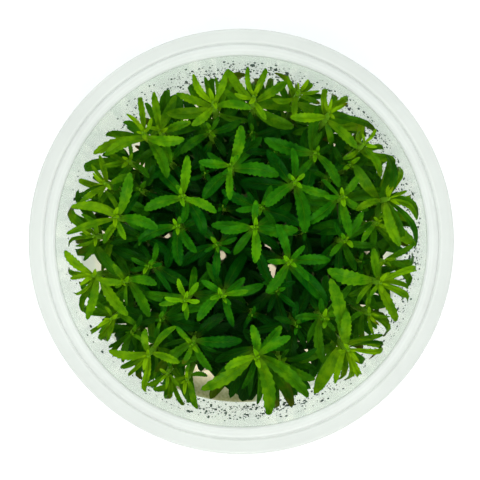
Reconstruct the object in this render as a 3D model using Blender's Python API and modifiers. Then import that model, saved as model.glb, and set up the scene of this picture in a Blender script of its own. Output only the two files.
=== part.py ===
# Rice paddy herb in an open tissue-culture cup: a turned plastic cup, a disc of culture
# gel in its bottom, and rooted shoots that stand in the gel with their leaves in whorls.
# Metres. The origin is the middle of the cup's foot, +Z is up and +Y is the top of the plan.

import math

import bmesh
import bpy
from mathutils import Matrix, Vector
from mathutils.bvhtree import BVHTree

MM = 0.001
GAP = 0.0003                # kept between pieces that touch

# Cup
CUP_HEIGHT = 0.060
RIM_RADIUS = 0.050
MOUTH_RADIUS = 0.0437
WALL = 0.0010
WALL_DRAFT = 0.048          # how much the wall narrows for each metre down
FLOOR_TOP = 0.0020
FLOOR_THICKNESS = 0.0012
FLOOR_ROUND = 0.0015        # where the floor turns up into the wall
FOOT_WIDTH = 0.0030
BEAD_WIDTH = 0.0025         # the rounded sealing bead between the mouth and the flange
GROOVE_DEPTH = 0.0013
GROOVE_WIDTH = 0.0003
FLANGE_DROP = 0.0009        # the flange lies this far under the bead's crown
FLANGE_THICKNESS = 0.0011
SKIRT_HEIGHT = 0.0034
SKIRT_THICKNESS = 0.0009
CUP_SIDES = 40

# Culture gel
GEL_TOP = 0.010
MENISCUS_HEIGHT = 0.0005
MENISCUS_WIDTH = 0.0013
SOCKET_DEPTH = 0.0030

# Stems
STEM_RADIUS = 0.0008        # from the stem's middle to a corner of its square
STEM_FACE = STEM_RADIUS * math.sqrt(2)
TIP_RADIUS = 0.00045
TIP_LENGTH = 0.0060         # the stretch of stem that narrows to the tip
COLLAR = 0.0006             # the stem stands straight this far out of the gel
FOOT_SPREAD = 0.82          # a stem's foot is this share of its top's distance from the axis
FOOT_SPACING = 0.0034
FOOT_MARGIN = 0.0040        # from a foot to the wall
WHORL_HEIGHT = 0.0009       # the stretch of stem that a whorl's leaves grow from
WHORL_DEPTHS = (0.0012, 0.0035, 0.0065, 0.0101, 0.0151)

# Leaves
LEAF_THICKNESS = 0.00055
LEAF_WIDTH = 0.32           # share of the reach
LEAST_LEAF_WIDTH = 0.0013
MOST_LEAF_WIDTH = 0.0042
WIDEST_AT = 0.50            # share of the way to the tip
BLADE_START = 0.22          # share of the way to the widest section that is the leaf's narrow foot
TOP_SLOPE = 0.42            # how steeply the topmost leaves rise
SLOPE_LOSS = 35             # how much of that is lost for each metre down the stem
LOWER_LEAF_REACH = 0.0105
LOWER_LEAVES_WITHIN = 0.031  # shoots that stand this near the axis have a pair of lower leaves
CLEAR_OF_GEL = 0.0015
CLEAR_OF_RIM = 0.0050       # the head room between the leaves and the rim

# The shoots as they stand, in millimetres: x and y of the top, its height, and the whorls from the
# top down, each leaf with its heading in degrees from +X and its level reach from the stem's top.
SHOOTS = (
    # back left
    (-23.4, 25.8, 52.0, [[(131, 4.8), (50, 3.9)], [(93, 9.0), (-8, 10.0), (216, 10.0)],
                         [(-62, 12.0), (206, 12.5)]]),
    (-27.2, 19.4, 46.0, [[(85, 4.5), (200, 5.5)], [(-40, 6.5), (150, 6.0), (245, 8.0)]]),
    (-19.7, 26.5, 47.5, [[(95, 8.4), (15, 8.0)], [(200, 7.0), (-70, 8.0)]]),
    (-32.7, 13.9, 49.0, [[(118, 4.5), (258, 4.0)], [(93, 6.2), (225, 7.0), (20, 6.0)]]),
    (-24.5, 12.5, 43.0, [[(60, 7.0), (240, 7.0)], [(150, 7.0), (-30, 7.0)]]),
    (-17.5, 19.5, 42.5, [[(45, 8.0), (225, 6.0)], [(130, 7.0), (-50, 8.0)]]),
    # back
    (-6.7, 33.2, 52.5, [[(62, 6.8), (129, 7.0)], [(-10, 9.3), (227, 7.6)],
                        [(172, 8.6), (83, 5.2)], [(194, 11.5)]]),
    (3.0, 34.6, 52.0, [[(104, 6.0), (165, 4.6)], [(63, 6.7), (-62, 6.3)],
                       [(20, 8.5), (137, 8.6)], [(-35, 12.0)]]),
    (-7.5, 26.7, 44.0, [[(60, 4.0), (218, 9.2)], [(20, 8.0), (130, 7.0)], [(-60, 7.0)]]),
    (-2.6, 18.3, 50.0, [[(50, 3.0), (230, 3.0)], [(75, 9.9), (174, 7.7), (269, 8.4)],
                        [(-12, 12.0), (150, 6.5)]]),
    (2.6, 26.5, 41.0, [[(95, 5.0), (250, 5.0)], [(200, 6.0), (10, 7.0)]]),
    (13.8, 36.0, 50.0, [[(140, 4.0), (-15, 4.5)], [(-100, 6.5), (-55, 6.0)]]),
    (8.0, 21.5, 41.5, [[(0, 7.0), (180, 7.0)], [(80, 6.0), (-100, 6.0)]]),
    # back right
    (21.0, 30.6, 52.5, [[(122, 3.4), (21, 3.9)], [(35, 8.4), (186, 9.4)],
                        [(-24, 12.2), (-47, 10.8), (97, 7.0)]]),
    (17.9, 21.2, 47.0, [[(165, 13.0), (-56, 10.0)], [(73, 5.5), (230, 7.0)]]),
    (13.0, 14.3, 51.0, [[(130, 2.5), (40, 2.8)], [(96, 8.2), (220, 9.4), (-21, 8.7)],
                        [(-80, 12.5)]]),
    (29.4, 23.4, 51.0, [[(60, 4.0), (110, 3.0)], [(-70, 9.0), (-42, 10.0)], [(215, 6.0)]]),
    (26.3, 18.5, 44.0, [[(70, 4.0), (200, 4.0)], [(-30, 6.0), (130, 6.0)]]),
    (21.5, 15.5, 42.0, [[(-20, 8.0), (160, 6.0)], [(60, 6.0), (250, 7.0)]]),
    # right
    (24.4, 10.6, 51.0, [[(181, 4.6), (-37, 4.0)], [(56, 6.5), (-80, 9.6)],
                        [(-26, 7.0), (216, 10.8)]]),
    (35.2, 10.2, 52.0, [[(85, 3.5), (25, 3.5)], [(-30, 9.5), (-82, 11.5)],
                        [(-62, 12.5), (200, 8.0)]]),
    (32.8, 4.4, 47.0, [[(60, 3.0), (230, 6.0)], [(-55, 8.5), (-100, 6.0)]]),
    (25.1, 0.3, 47.0, [[(225, 5.5), (60, 8.0)], [(-10, 7.0), (120, 5.0)], [(-70, 8.0)]]),
    (34.5, -4.8, 46.0, [[(35, 7.5), (250, 5.0)], [(110, 8.0), (-20, 5.5)]]),
    (29.0, -5.0, 41.0, [[(90, 5.0), (-90, 5.0)], [(180, 7.0), (10, 5.0)]]),
    (33.2, -9.9, 52.0, [[(60, 3.0), (230, 4.0)], [(101, 8.5), (-27, 8.4)],
                        [(-70, 10.0), (166, 13.0)]]),
    # middle
    (3.2, 3.4, 50.0, [[(87, 6.5), (-90, 8.6)], [(187, 8.3), (-7, 5.5)]]),
    (4.8, 8.2, 46.5, [[(66, 5.8), (187, 6.2)], [(-53, 5.8), (130, 5.0)]]),
    (-6.0, -0.8, 46.0, [[(210, 3.4), (-30, 4.0)], [(20, 5.3), (-91, 8.4)], [(140, 7.0)]]),
    (11.6, -4.9, 51.0, [[(178, 5.5), (48, 5.3)], [(-45, 6.5), (109, 9.6)],
                        [(2, 9.9), (233, 9.4)], [(-48, 14.0)]]),
    (-4.6, -13.1, 50.0, [[(195, 3.0), (-45, 3.0)], [(143, 6.2), (11, 6.5)],
                         [(240, 8.6), (-70, 8.0), (39, 7.0)]]),
    (-13.5, -14.1, 51.0, [[(171, 4.9), (-3, 3.6)], [(107, 5.5), (-85, 4.8)],
                          [(54, 5.3), (190, 6.5)]]),
    (8.6, -11.9, 44.0, [[(25, 5.0), (150, 4.0)], [(-112, 5.8), (-40, 6.2)]]),
    (-14.1, 10.8, 51.0, [[(120, 3.0), (-20, 2.5)], [(83, 9.9), (200, 9.8), (-26, 9.1)],
                         [(261, 6.5)]]),
    (-15.5, 3.6, 47.5, [[(76, 2.5), (250, 2.5)], [(201, 10.0), (-53, 7.9)],
                        [(-85, 9.6), (20, 6.0)]]),
    # left
    (-30.0, 5.8, 52.0, [[(167, 9.5), (-65, 6.0)], [(72, 11.3), (-15, 10.5)], [(245, 7.0)]]),
    (-35.5, 1.2, 47.0, [[(75, 3.3), (165, 2.3)], [(110, 5.5), (215, 4.0)], [(255, 6.0)]]),
    (-35.5, -8.2, 51.0, [[(132, 8.6), (-11, 7.2)], [(254, 10.1), (190, 5.0)], [(-49, 12.7)]]),
    (-22.2, -6.0, 47.0, [[(154, 4.8), (11, 3.2)], [(74, 6.0), (249, 4.7)], [(190, 5.0)]]),
    (-28.2, -9.7, 48.5, [[(215, 2.5), (120, 5.0)], [(-5, 8.0), (170, 4.0)]]),
    (-24.3, 0.8, 42.0, [[(60, 6.0), (230, 3.0)], [(150, 7.0), (-30, 8.0)]]),
    # front left
    (-31.2, -18.6, 49.0, [[(103, 3.4), (235, 3.3)], [(35, 2.8), (-90, 4.8)],
                          [(125, 6.5), (-15, 6.0)]]),
    (-22.2, -27.2, 52.0, [[(94, 6.5), (263, 8.0)], [(167, 8.8), (-13, 7.7)]]),
    (-17.8, -31.8, 48.0, [[(-30, 4.0), (200, 5.0)], [(-85, 6.4), (100, 5.0)]]),
    (-26.6, -22.0, 43.0, [[(260, 6.5), (60, 5.0)], [(-20, 7.0), (150, 5.0)]]),
    (-19.5, -19.0, 44.0, [[(80, 6.0), (-100, 5.0)], [(10, 7.0), (190, 6.0)]]),
    # front
    (3.8, -27.6, 53.5, [[(100, 8.0), (199, 8.2)], [(32, 9.4), (254, 14.0), (-79, 13.0)],
                        [(-36, 14.6), (208, 15.0), (52, 9.4)], [(-55, 14.5), (220, 14.5)]]),
    (-11.7, -24.6, 49.0, [[(132, 5.8), (243, 5.3)], [(-10, 12.0), (-54, 8.0)]]),
    (-13.0, -33.2, 48.0, [[(-66, 6.5), (80, 4.0)], [(170, 4.0), (10, 5.0)]]),
    (9.6, -29.4, 45.0, [[(-20, 8.2), (60, 4.0)], [(-90, 6.0), (140, 5.0)]]),
    (13.5, -20.5, 43.0, [[(160, 6.0), (20, 6.0)], [(-70, 6.0), (90, 6.0)]]),
    # front right
    (20.0, -18.6, 47.0, [[(178, 7.2), (-50, 4.0)], [(100, 5.0), (20, 6.0)]]),
    (25.6, -26.0, 52.5, [[(-64, 8.9), (175, 3.0)], [(240, 8.0), (92, 9.4)],
                         [(6, 8.0), (104, 17.7)], [(229, 13.0)]]),
    (30.9, -17.6, 46.0, [[(-90, 4.5), (90, 5.0)], [(0, 4.0), (200, 5.0)]]),
    # low ones between the others
    (-8.8, 16.6, 41.0, [[(20, 4.0), (200, 4.0)], [(110, 6.5), (290, 7.5)]]),
    (-4.5, 8.6, 40.0, [[(70, 4.0), (250, 4.0)], [(0, 7.0), (180, 7.0)]]),
    (15.5, 2.4, 40.0, [[(0, 4.0), (180, 4.0)], [(95, 8.0), (275, 8.0)]]),
    (2.6, -18.0, 39.0, [[(60, 4.0), (240, 4.0)], [(150, 7.0), (330, 7.0)]]),
)


def wall_radius(height):
    """Radius of the wall's inner face at a height."""
    return MOUTH_RADIUS - (CUP_HEIGHT - height) * WALL_DRAFT


def material(name, colour, roughness):
    made = bpy.data.materials.new(name)
    made.use_nodes = True
    shader = made.node_tree.nodes["Principled BSDF"]
    shader.inputs["Base Color"].default_value = (*colour, 1.0)
    shader.inputs["Roughness"].default_value = roughness
    shader.inputs["Metallic"].default_value = 0.0
    return made


def new_object(name, mesh, collection, finish=None):
    made = bpy.data.objects.new(name, mesh)
    collection.objects.link(made)
    if finish:
        mesh.materials.append(finish)
    return made


def turned(name, profile, collection, finish):
    """A closed turned solid. The profile starts and ends on the axis and runs down its outer side."""
    outline = bmesh.new()
    points = [outline.verts.new((radius, 0.0, height)) for radius, height in profile]
    for here, after in zip(points, points[1:]):
        outline.edges.new((here, after))
    mesh = bpy.data.meshes.new(name)
    outline.to_mesh(mesh)
    outline.free()
    made = new_object(name, mesh, collection, finish)
    turn = made.modifiers.new("turn", "SCREW")
    turn.steps = turn.render_steps = CUP_SIDES
    turn.use_merge_vertices = True
    turn.merge_threshold = 0.00005
    turn.use_smooth_shade = True
    return made


def make_cup(collection, finish):
    """The wall rises to a rounded sealing bead, a groove, a flat flange and a skirt that turns down."""
    base = wall_radius(FLOOR_TOP)
    foot = wall_radius(0.0) + WALL
    bead = MOUTH_RADIUS + BEAD_WIDTH
    flange_top = CUP_HEIGHT - FLANGE_DROP
    flange_under = flange_top - FLANGE_THICKNESS
    skirt_bottom = flange_top - SKIRT_HEIGHT
    skirt_inside = RIM_RADIUS - SKIRT_THICKNESS
    profile = [
        (0.0, FLOOR_TOP),
        (base - FLOOR_ROUND, FLOOR_TOP),
        (base, FLOOR_TOP + FLOOR_ROUND),
        (MOUTH_RADIUS, CUP_HEIGHT - 0.4 * MM),
        (MOUTH_RADIUS + 0.5 * MM, CUP_HEIGHT),
        (bead - 0.7 * MM, CUP_HEIGHT),
        (bead, CUP_HEIGHT - GROOVE_DEPTH),
        (bead + GROOVE_WIDTH, flange_top),
        (RIM_RADIUS - 0.5 * MM, flange_top),
        (RIM_RADIUS, flange_top - 0.5 * MM),
        (RIM_RADIUS, skirt_bottom),
        (skirt_inside, skirt_bottom),
        (skirt_inside, flange_under),
        (wall_radius(flange_under) + WALL, flange_under),
        (foot, 1.0 * MM),
        (foot - 1.0 * MM, 0.0),
        (foot - FOOT_WIDTH, 0.0),
        (foot - FOOT_WIDTH - 0.8 * MM, FLOOR_TOP - FLOOR_THICKNESS),
        (0.0, FLOOR_TOP - FLOOR_THICKNESS),
    ]
    return turned("cup", profile, collection, finish)


def make_gel(collection, cutters, finish, shoots):
    """A disc with a raised edge where it wets the wall, and a square socket for the foot of each stem."""
    edge = wall_radius(GEL_TOP) - GAP
    base = wall_radius(FLOOR_TOP) - GAP
    profile = [
        (0.0, GEL_TOP),
        (edge - MENISCUS_WIDTH, GEL_TOP),
        (edge, GEL_TOP + MENISCUS_HEIGHT),
        (base, FLOOR_TOP + FLOOR_ROUND),
        (base - FLOOR_ROUND, FLOOR_TOP + GAP),
        (0.0, FLOOR_TOP + GAP),
    ]
    gel = turned("culture_gel", profile, collection, finish)
    sockets = bmesh.new()
    depth = SOCKET_DEPTH + GAP
    for shoot in shoots:
        add_prism(sockets, shoot, -depth, depth, STEM_RADIUS + GAP * math.sqrt(2))
    mesh = bpy.data.meshes.new("sockets")
    sockets.to_mesh(mesh)
    sockets.free()
    cutter = new_object("sockets", mesh, cutters)
    cutter.hide_render = True
    cutter.display_type = "WIRE"
    cut = gel.modifiers.new("sockets", "BOOLEAN")
    cut.operation = "DIFFERENCE"
    cut.object = cutter
    return gel


def add_prism(mesh, shoot, low, high, radius):
    """A square prism turned as a shoot's stem is, between two heights over its foot."""
    middle = Matrix.Translation(shoot.foot + Vector((0, 0, (low + high) / 2)))
    turn = Matrix.Rotation(shoot.turn + math.pi / 4, 4, "Z")
    bmesh.ops.create_cone(
        mesh, cap_ends=True, segments=4, radius1=radius, radius2=radius, depth=high - low,
        matrix=middle @ turn,
    )


def feet_of(shoots):
    """Where the stems stand in the gel: under their tops but nearer the axis, and clear of each other."""
    feet = [Vector((x * MM * FOOT_SPREAD, y * MM * FOOT_SPREAD, GEL_TOP)) for x, y, _, _ in shoots]
    most = wall_radius(GEL_TOP) - FOOT_MARGIN
    for _ in range(60):
        for i, foot in enumerate(feet):
            for other in feet[i + 1:]:
                apart = other - foot
                short = FOOT_SPACING - apart.length
                if short > 0:
                    push = apart.normalized() * short / 2
                    foot -= push
                    other += push
            out = math.hypot(foot.x, foot.y)
            if out > most:
                foot.x *= most / out
                foot.y *= most / out
    return feet


class Shoot:
    """One stem: where it stands, and the leaves that have been placed on it."""

    def __init__(self, top, foot, whorls):
        self.top = top
        self.foot = foot
        self.axis = (top - foot).normalized()
        self.whorls = whorls
        self.turn = math.radians(whorls[0][0][0])
        self.faces = [
            Vector((math.cos(self.turn + i * math.pi / 2), math.sin(self.turn + i * math.pi / 2), 0))
            for i in range(4)
        ]
        self.leaves = {}

    def point(self, depth):
        return self.top - self.axis * depth

    def face_towards(self, heading):
        """Which face of the stem looks most nearly along a heading."""
        angle = math.radians(heading)
        return max(range(4), key=lambda i: self.faces[i].dot(Vector((math.cos(angle), math.sin(angle), 0))))

    def tree(self):
        """The stem as a search tree."""
        corners = [(self.faces[i] + self.faces[(i + 1) % 4]) * STEM_RADIUS / math.sqrt(2) for i in range(4)]
        points = [end + corner for end in (self.foot, self.top) for corner in corners]
        faces = [(i, (i + 1) % 4, 4 + (i + 1) % 4, 4 + i) for i in range(4)]
        return BVHTree.FromPolygons(points, faces)


class Leaf:
    """A leaf as its start on the stem, its widest section and its tip."""

    def __init__(self, start, middle, tip, width):
        self.start = start
        self.middle = middle
        self.tip = tip
        self.width = width
        along = tip - start
        self.side = Vector((0, 0, 1)).cross(along).normalized()
        self.up = along.cross(self.side).normalized()

    def section(self, centre, width, thickness):
        side = self.side * width / 2
        up = self.up * thickness / 2
        return [centre - side - up, centre + side - up, centre + side + up, centre - side + up]

    def tree(self, margin, share=0.0):
        """The leaf as a search tree, with a margin round it, from some share of the way to its middle."""
        inner = self.start.lerp(self.middle, share)
        width = STEM_FACE + (self.width - STEM_FACE) * share + 2 * margin
        thickness = WHORL_HEIGHT + (LEAF_THICKNESS - WHORL_HEIGHT) * share + 2 * margin
        points = self.section(inner, width, thickness)
        points += self.section(self.middle, self.width + 2 * margin, LEAF_THICKNESS + 2 * margin)
        points.append(self.tip + (self.tip - self.middle).normalized() * margin)
        faces = [(0, 1, 5, 4), (1, 2, 6, 5), (2, 3, 7, 6), (3, 0, 4, 7), (3, 2, 1, 0)]
        faces += [(4, 5, 8), (5, 6, 8), (6, 7, 8), (7, 4, 8)]
        return BVHTree.FromPolygons(points, faces)

    def bounds(self, margin):
        """The middle and the radius of a ball round the leaf."""
        return (self.start + self.tip) / 2, (self.tip - self.start).length / 2 + self.width + margin

    def is_inside(self):
        """Clear of the wall and of the gel, with head room under the rim."""
        points = self.section(self.middle, self.width, LEAF_THICKNESS) + [self.tip]
        return all(
            math.hypot(p.x, p.y) < wall_radius(p.z) - GAP
            and GEL_TOP + CLEAR_OF_GEL < p.z < CUP_HEIGHT - CLEAR_OF_RIM
            for p in points
        )


class Planting:
    """The leaves and stems that stand so far, so that a new leaf can find a free way between them."""

    def __init__(self, shoots):
        self.leaves = []
        self.stems = [(shoot, shoot.tree()) for shoot in shoots]

    def is_free(self, leaf, shoot):
        """Clear of every stem and leaf. Leaves of one shoot may meet where they start."""
        whole = leaf.tree(GAP)
        blade = leaf.tree(GAP, BLADE_START)
        centre, reach = leaf.bounds(GAP)
        for owner, other_centre, other_reach, other_whole, other_blade in self.leaves:
            if (centre - other_centre).length > reach + other_reach:
                continue
            if blade.overlap(other_blade) if owner is shoot else whole.overlap(other_whole):
                return False
        return not any(other is not shoot and whole.overlap(stem) for other, stem in self.stems)

    def add(self, leaf, shoot):
        centre, reach = leaf.bounds(0.0)
        self.leaves.append((shoot, centre, reach, leaf.tree(0.0), leaf.tree(0.0, BLADE_START)))


def against_wall(point):
    """A point that would be past the wall slides down its face, as a leaf that presses on it does."""
    out = math.hypot(point.x, point.y)
    limit = wall_radius(point.z) - 2.2 * GAP
    if out <= limit:
        return point
    return Vector((point.x * limit / out, point.y * limit / out, point.z - 0.8 * (out - limit)))


def leaf_at(shoot, depth, heading, reach, rise, arch):
    """A leaf that lies one way: rise is how far its tip is over its start, arch lifts its middle."""
    face = shoot.faces[shoot.face_towards(heading)]
    start = shoot.point(depth + WHORL_HEIGHT / 2) + face * STEM_FACE / 2
    over = Vector((math.cos(math.radians(heading)), math.sin(math.radians(heading)), 0)) * reach
    tip = Vector((shoot.top.x + over.x, shoot.top.y + over.y, start.z + rise))
    middle = start.lerp(tip, WIDEST_AT) + Vector((0, 0, arch * (tip - start).length))
    width = min(MOST_LEAF_WIDTH, max(LEAST_LEAF_WIDTH, LEAF_WIDTH * reach))
    return Leaf(start, against_wall(middle), against_wall(tip), width)


def ways():
    """Ways to try: how far the tip is lifted, the arch, a swing to the side, and the share of the reach."""
    tries = [
        (lift, arch, swing, share)
        for share in (1.0, 0.88, 0.75)
        for lift in (0.0, 1.2, -1.2, 2.4, -2.4, 3.8, -3.8, 5.2, -5.2)
        for arch in (0.10, 0.20, 0.0)
        for swing in (0, 7, -7, 14, -14)
    ]
    return sorted(tries, key=lambda t: abs(t[0]) / 2 + abs(t[1] - 0.1) + abs(t[2]) / 11 + (1 - t[3]) * 14)


def place_leaf(planting, shoot, whorl, heading, reach):
    """Finds a free way for a leaf. It is left off if there is none."""
    depth = WHORL_DEPTHS[whorl]
    natural = reach * (TOP_SLOPE - SLOPE_LOSS * depth)
    for lift, arch, swing, share in ways():
        face = shoot.face_towards(heading + swing)
        leaf = leaf_at(shoot, depth, heading + swing, reach * share, natural + lift * MM, arch)
        if (whorl, face) not in shoot.leaves and leaf.is_inside() and planting.is_free(leaf, shoot):
            shoot.leaves[whorl, face] = leaf
            planting.add(leaf, shoot)
            return True
    return False


def plant(shoots):
    """Places the leaves that the plan names, the highest whorls first, and then a pair under them."""
    planting = Planting(shoots)
    named = [
        (WHORL_DEPTHS[whorl] - shoot.top.z, number, whorl, heading, reach * MM)
        for number, shoot in enumerate(shoots)
        for whorl, leaves in enumerate(shoot.whorls)
        for heading, reach in leaves
    ]
    left_off = 0
    for _, number, whorl, heading, reach in sorted(named):
        left_off += not place_leaf(planting, shoots[number], whorl, heading, reach)
    for shoot in shoots:
        whorl = len(shoot.whorls)
        if math.hypot(shoot.top.x, shoot.top.y) > LOWER_LEAVES_WITHIN:
            continue
        for turn in (90, 270):
            heading = math.degrees(shoot.turn) + 90 * whorl + turn
            place_leaf(planting, shoot, whorl, heading, LOWER_LEAF_REACH)
    print(f"{len(planting.leaves)} leaves placed, {left_off} of those named left off")


def extruded(mesh, face):
    """The face, extruded: the new end face and the side faces round it."""
    end = bmesh.ops.extrude_discrete_faces(mesh, faces=[face])["faces"][0]
    sides = {side for edge in end.edges for side in edge.link_faces if side is not end}
    return end, sides


def grow_stem(mesh, end, place, scale):
    """Extrudes the stem's end face to a place. Returns the new end and its four side faces."""
    centre = end.calc_center_median()
    end, sides = extruded(mesh, end)
    for vertex in end.verts:
        vertex.co = place + (vertex.co - centre) * scale
    return end, sides


def grow_leaf(mesh, shoot, side_face, leaf):
    """Extrudes a face of the stem to the leaf's widest section, and draws its end out to the tip."""
    centre = side_face.calc_center_median()
    right = shoot.axis.cross(side_face.normal).normalized()
    if right.dot(leaf.side) < 0:
        right = -right
    end, _ = extruded(mesh, side_face)
    for vertex in end.verts:
        across = math.copysign(leaf.width / 2, (vertex.co - centre).dot(right))
        over = math.copysign(LEAF_THICKNESS / 2, (vertex.co - centre).dot(shoot.axis))
        vertex.co = leaf.middle + leaf.side * across + leaf.up * over
    tip = bmesh.ops.poke(mesh, faces=[end])["verts"][0]
    tip.co = leaf.tip


def make_shoot(name, shoot, collection, finish):
    """A square stem, extruded from its foot up through its whorls. Its leaves are drawn out of its faces."""
    mesh = bmesh.new()
    add_prism(mesh, shoot, -SOCKET_DEPTH, COLLAR, STEM_RADIUS)
    mesh.normal_update()
    end = max(mesh.faces, key=lambda f: f.normal.z)
    sides_at = {}
    radius = STEM_RADIUS
    for whorl in sorted({whorl for whorl, _ in shoot.leaves}, reverse=True):
        depth = WHORL_DEPTHS[whorl]
        narrower = STEM_RADIUS + (TIP_RADIUS - STEM_RADIUS) * max(0.0, 1 - depth / TIP_LENGTH)
        end, _ = grow_stem(mesh, end, shoot.point(depth + WHORL_HEIGHT), narrower / radius)
        end, sides_at[whorl] = grow_stem(mesh, end, shoot.point(depth), 1.0)
        radius = narrower
    end, _ = grow_stem(mesh, end, shoot.top, TIP_RADIUS / radius)
    bmesh.ops.poke(mesh, faces=[end])["verts"][0].co = shoot.top + shoot.axis * TIP_RADIUS
    mesh.normal_update()
    for (whorl, number), leaf in shoot.leaves.items():
        side_face = max(sides_at[whorl], key=lambda f: f.normal.dot(shoot.faces[number]))
        sides_at[whorl].remove(side_face)
        grow_leaf(mesh, shoot, side_face, leaf)
    bmesh.ops.recalc_face_normals(mesh, faces=mesh.faces)
    made = bpy.data.meshes.new(name)
    mesh.to_mesh(made)
    mesh.free()
    return new_object(name, made, collection, finish)


def main():
    for old in list(bpy.data.objects):
        bpy.data.objects.remove(old)
    parts = bpy.data.collections.new("rice_paddy_herb")
    cutters = bpy.data.collections.new("cutters")
    bpy.context.scene.collection.children.link(parts)
    bpy.context.scene.collection.children.link(cutters)

    shoots = [
        Shoot(Vector((x, y, top)) * MM, foot, whorls)
        for (x, y, top, whorls), foot in zip(SHOOTS, feet_of(SHOOTS))
    ]
    plant(shoots)
    make_cup(parts, material("cup_plastic", (0.86, 0.89, 0.86), 0.35))
    make_gel(parts, cutters, material("culture_gel", (0.80, 0.72, 0.58), 0.25), shoots)
    leaf_green = material("leaf_green", (0.10, 0.30, 0.02), 0.42)
    for number, shoot in enumerate(shoots, start=1):
        make_shoot(f"shoot_{number:02d}", shoot, parts, leaf_green)


main()
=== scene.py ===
# Rice paddy herb in an open tissue-culture cup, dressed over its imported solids. Metres, +Z up.
import math

import bpy
import numpy as np
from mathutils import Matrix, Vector


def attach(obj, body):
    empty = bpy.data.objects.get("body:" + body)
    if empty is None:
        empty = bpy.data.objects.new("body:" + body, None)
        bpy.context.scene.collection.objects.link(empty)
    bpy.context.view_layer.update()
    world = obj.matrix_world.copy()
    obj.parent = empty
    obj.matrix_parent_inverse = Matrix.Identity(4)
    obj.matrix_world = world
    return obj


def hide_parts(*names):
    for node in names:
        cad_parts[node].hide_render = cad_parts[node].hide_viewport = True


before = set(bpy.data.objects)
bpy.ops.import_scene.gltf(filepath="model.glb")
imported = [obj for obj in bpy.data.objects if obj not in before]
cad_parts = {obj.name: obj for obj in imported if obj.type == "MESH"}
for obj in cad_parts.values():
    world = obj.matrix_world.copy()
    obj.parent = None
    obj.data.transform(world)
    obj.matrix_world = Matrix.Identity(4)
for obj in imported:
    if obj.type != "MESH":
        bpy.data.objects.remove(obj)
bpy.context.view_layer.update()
chance = np.random.default_rng(20)
mm = 0.001
up = np.array([0.0, 0.0, 1.0])
print("frame loaded:", len(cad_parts), "solids")


# Vector helpers on whole arrays

def unit(v):
    # each vector over its own length
    return v / np.maximum(np.linalg.norm(v, axis=-1, keepdims=True), 1e-12)


def ease(low, high, x):
    # 0 under low, 1 over high, and 3t^2 - 2t^3 between them
    t = np.clip((x - low) / (high - low), 0.0, 1.0)
    return t * t * (3 - 2 * t)


def easeMm(low, high, x):
    # the same step between two lengths in mm, as one number
    return float(ease(low * mm, high * mm, x))


def mixed(a, b, share):
    # a at share 0, b at share 1, and a straight line between them
    return a + (b - a) * share


def fromAxis(points):
    # distance from the cup's axis
    return np.hypot(points[..., 0], points[..., 1])


def drawnIn(points, share):
    # x and y times a share, and the height as it is
    return points * np.stack([share, share, np.ones_like(share)], axis=-1)


def roundTurn(count):
    # equal angles round a circle
    return np.arange(count) / count * 2 * math.pi


def level(angle):
    # the level unit vector at each angle
    return np.stack([np.cos(angle), np.sin(angle), np.zeros_like(angle)], axis=-1)


def gathered(items, *keys):
    # for each key, one array over the items
    return [np.array([item[key] for item in items]) for key in keys]


# Meshes: every form is a stack of rings with a pole at each end, so it is closed

def formFaces(ringCount, around):
    # quads between neighbouring rings, and fans from the first and last ring to the two poles
    ring = np.arange(ringCount * around).reshape(ringCount, around) + 1
    beside = np.roll(ring, -1, axis=1)
    last = ringCount * around + 1
    quads = np.stack([ring[:-1], beside[:-1], beside[1:], ring[1:]], axis=-1).reshape(-1, 4)
    startFan = np.stack([np.zeros(around, int), beside[0], ring[0]], axis=-1)
    endFan = np.stack([ring[-1], beside[-1], np.full(around, last)], axis=-1)
    return quads, np.concatenate([startFan, endFan])


def makeForms(rings, poleStart, poleEnd, place=None, look=None, slot=0):
    # rings is forms x rings x around x 3. place and look are three numbers for each point, in the
    # same order: first pole, rings, last pole.
    forms, ringCount, around = rings.shape[:3]
    quads, fans = formFaces(ringCount, around)
    size = ringCount * around + 2
    offsets = (np.arange(forms) * size)[:, None, None]
    points = np.concatenate([poleStart[:, None], rings.reshape(forms, -1, 3), poleEnd[:, None]], axis=1)
    corner = points[0] - points[0].mean(axis=0)
    a, b, c = corner[np.concatenate([quads[:, :3], quads[:, [0, 2, 3]], fans])].swapaxes(0, 1)
    if np.sum(a * np.cross(b, c)) < 0:      # six times the volume inside, negative where faces look inwards
        quads, fans = quads[:, ::-1], fans[:, ::-1]
    blank = np.zeros((forms, size, 3))
    return {
        "points": points.reshape(-1, 3),
        "quads": (quads[None] + offsets).reshape(-1, 4),
        "fans": (fans[None] + offsets).reshape(-1, 3),
        "place": (blank if place is None else place).reshape(-1, 3),
        "look": (blank if look is None else look).reshape(-1, 3),
        "slot": slot,
    }


def placed(name, data, where=(0, 0, 0)):
    # a new object in the scene
    thing = bpy.data.objects.new(name, data)
    thing.location = where
    bpy.context.scene.collection.objects.link(thing)
    return thing


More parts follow.
